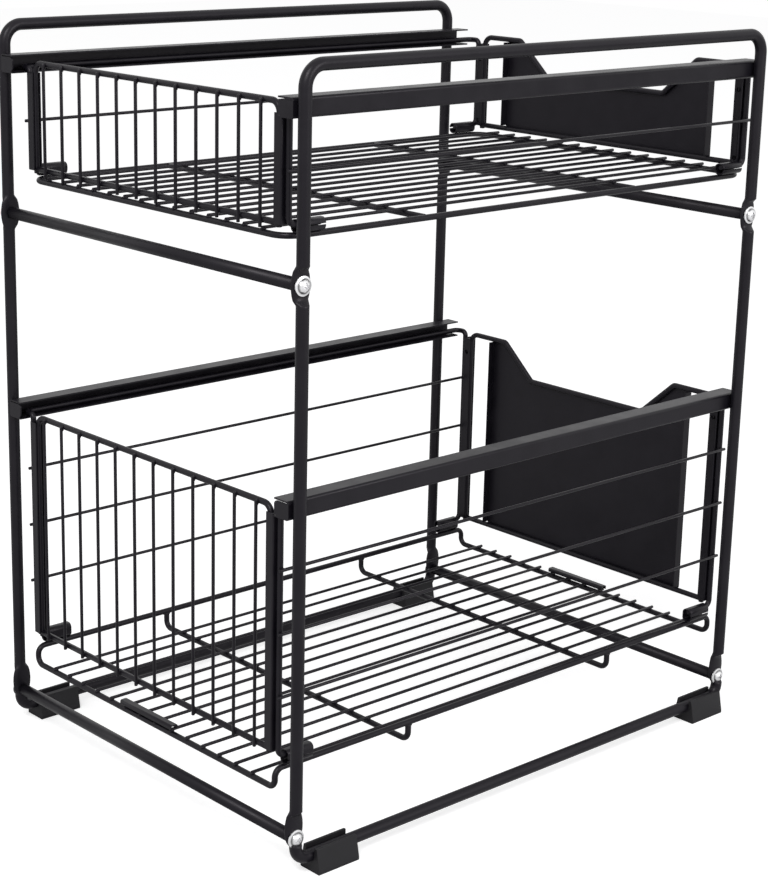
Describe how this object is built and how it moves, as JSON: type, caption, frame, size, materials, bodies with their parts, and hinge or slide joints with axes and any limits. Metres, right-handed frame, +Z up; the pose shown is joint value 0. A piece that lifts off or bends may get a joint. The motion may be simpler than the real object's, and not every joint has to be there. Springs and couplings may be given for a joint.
{
  "type": "pull-out cabinet basket",
  "caption": "Free-standing two-tier rack: a tube frame on feet carries two wire baskets that slide out on folded channel rails.",
  "frame": {"origin": "centre of the overall footprint at floor level, under the feet", "axes": "+X to the right as seen from the pull side, -Y towards the user (pull direction), +Z up"},
  "size_m": [0.3244, 0.4368, 0.5002],
  "materials": {
    "tube_coating": "satin black powder coat on round steel tube",
    "wire_coating": "satin black powder coat on steel wire and folded strip",
    "rail_coating": "satin black powder coat on folded steel sheet",
    "sheet_coating": "fine satin black powder coat on flat steel sheet",
    "zinc_screws": "bright zinc plating",
    "plug_steel": "plain threaded steel",
    "foot_plastic": "moulded black plastic"
  },
  "bodies": {
    "frame": {"cross_tube_front_lower": "tube_coating", "cross_tube_front_upper": "tube_coating", "cross_tube_rear_lower": "tube_coating", "cross_tube_rear_upper": "tube_coating", "foot_front_left": "foot_plastic", "foot_front_right": "foot_plastic", "foot_rear_left": "foot_plastic", "foot_rear_right": "foot_plastic", "frame_screws": "zinc_screws", "rail_lower_left": "rail_coating", "rail_lower_right": "rail_coating", "rail_upper_left": "rail_coating", "rail_upper_right": "rail_coating", "side_frame_left": "tube_coating", "side_frame_right": "tube_coating", "tube_plugs": "plug_steel"},
    "upper_basket": {"upper_pull_hoop": "wire_coating", "upper_pull_sheet": "sheet_coating", "upper_rear_panel": "wire_coating", "upper_side_wire_left": "wire_coating", "upper_side_wire_right": "wire_coating", "upper_sleeve_front_left": "wire_coating", "upper_sleeve_front_right": "wire_coating", "upper_sleeve_rear_left": "wire_coating", "upper_sleeve_rear_right": "wire_coating", "upper_tray": "wire_coating", "upper_tray_hooks": "wire_coating"},
    "lower_basket": {"lower_pull_hoop": "wire_coating", "lower_pull_sheet": "sheet_coating", "lower_rear_panel": "wire_coating", "lower_side_wire_left": "wire_coating", "lower_side_wire_right": "wire_coating", "lower_sleeve_front_left": "wire_coating", "lower_sleeve_front_right": "wire_coating", "lower_sleeve_rear_left": "wire_coating", "lower_sleeve_rear_right": "wire_coating", "lower_tray": "wire_coating", "lower_tray_clips": "wire_coating", "lower_tray_hooks": "wire_coating"}
  },
  "joints": [
    {"name": "upper_basket_slide", "type": "slide", "parent": "frame", "child": "upper_basket", "axis": [0, -1, 0], "range_m": [-0.0084, 0.28]},
    {"name": "lower_basket_slide", "type": "slide", "parent": "frame", "child": "lower_basket", "axis": [0, -1, 0], "range_m": [-0.0049, 0.28]}
  ]
}
